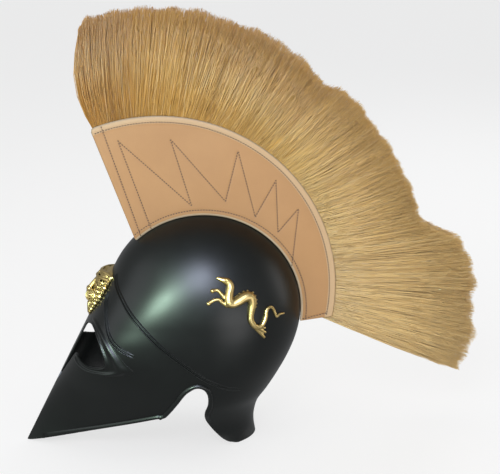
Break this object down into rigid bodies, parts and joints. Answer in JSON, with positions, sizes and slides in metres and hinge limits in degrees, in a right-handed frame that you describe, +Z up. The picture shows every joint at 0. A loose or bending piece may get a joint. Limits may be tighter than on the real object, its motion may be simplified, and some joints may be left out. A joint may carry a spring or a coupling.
{
  "type": "corinthian helmet",
  "caption": "Sheet-metal helmet that covers the head and face, with eye openings, a nose piece, a leather-sided horsehair crest and cast ornaments.",
  "frame": {"origin": "centre of the bounding box at floor level, where the chin tips and the neck guard rest", "axes": "+Z up from the floor to the crest, -X towards the face, +X towards the crest's rear tip, +Y towards the wearer's right-hand side"},
  "size_m": [0.6282, 0.2066, 0.5963],
  "materials": {
    "black_paint": "satin",
    "tan_leather": "matt",
    "horsehair": "matt",
    "cast_brass": "polished high spots over dark patina"
  },
  "bodies": {
    "root": {"helmet_shell": "black_paint", "crest_panel_left": "tan_leather", "crest_panel_right": "tan_leather", "crest_plume": "horsehair", "brow_mask": "cast_brass", "dragon_left": "cast_brass", "dragon_right": "cast_brass"}
  },
  "joints": []
}
